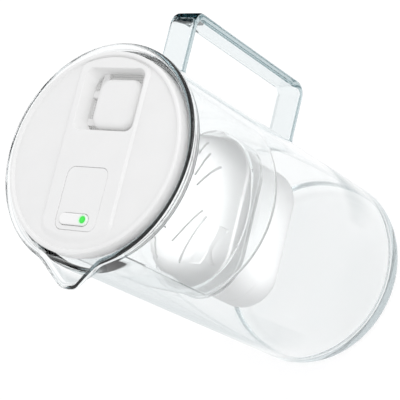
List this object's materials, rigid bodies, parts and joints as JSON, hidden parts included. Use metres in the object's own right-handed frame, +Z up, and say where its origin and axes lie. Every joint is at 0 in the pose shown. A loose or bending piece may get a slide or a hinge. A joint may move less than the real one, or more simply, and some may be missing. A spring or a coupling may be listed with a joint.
{
  "type": "water filter jug",
  "caption": "Clear glass water filter jug with a strap handle and pouring lip, a hanging clear hopper with a filter cartridge, and a flush white lid with refill grille and lit change indicator.",
  "frame": {"origin": "centre of the glass base, on the surface the jug stands on", "axes": "+Z up along the jug's axis, +X towards the handle, -X towards the pouring lip"},
  "size_m": [0.183, 0.132, 0.25],
  "materials": {
    "clear_glass": "polished clear glass",
    "clear_plastic": "clear moulded plastic, gloss",
    "silicone": "translucent silicone, matte",
    "cartridge_white": "satin moulded plastic",
    "mesh": "fine woven plastic mesh",
    "media": "granular, dark with pale beads",
    "lid_white": "satin moulded plastic, fine texture",
    "dark_rubber": "matte",
    "screw_steel": "bright stainless steel",
    "board": "green solder mask, semi-gloss",
    "cell_steel": "brushed steel can",
    "contact_brass": "plated spring strip",
    "switch_black": "matte",
    "led_body": "clear epoxy",
    "button_white": "satin moulded plastic",
    "lamp_green": "lit green window"
  },
  "bodies": {
    "jug": {"glass_body": "clear_glass", "glass_handle": "clear_glass"},
    "hopper": {"funnel": "clear_plastic", "funnel_seal": "silicone"},
    "cartridge": {"cartridge_body": "cartridge_white", "cartridge_cap": "cartridge_white", "cartridge_seal": "silicone", "inlet_mesh": "mesh", "filter_media": "media", "outlet_mesh": "mesh"},
    "lid": {"lid_shell": "lid_white", "refill_grille": "lid_white", "refill_strainer": "mesh", "lid_seal": "silicone", "indicator_cover": "lid_white", "indicator_base": "lid_white", "case_gasket": "dark_rubber", "case_screws": "screw_steel", "circuit_board": "board", "coin_cell": "cell_steel", "cell_contacts": "contact_brass", "tact_switch": "switch_black", "status_led": "led_body"},
    "button": {"reset_button": "button_white", "light_lens": "lamp_green"}
  },
  "joints": [
    {"name": "hopper_lift", "type": "slide", "parent": "jug", "child": "hopper", "axis": [0, 0, 1], "range_m": [0, 0.18]},
    {"name": "lid_lift", "type": "slide", "parent": "hopper", "child": "lid", "axis": [0, 0, 1], "range_m": [0, 0.08]},
    {"name": "cartridge_lift", "type": "slide", "parent": "hopper", "child": "cartridge", "axis": [0, 0, 1], "range_m": [0, 0.06]},
    {"name": "button_press", "type": "slide", "parent": "lid", "child": "button", "axis": [0, 0, -1], "range_m": [0, 0.0008], "stiffness_N_per_m": 600, "springref_m": -0.0002}
  ]
}
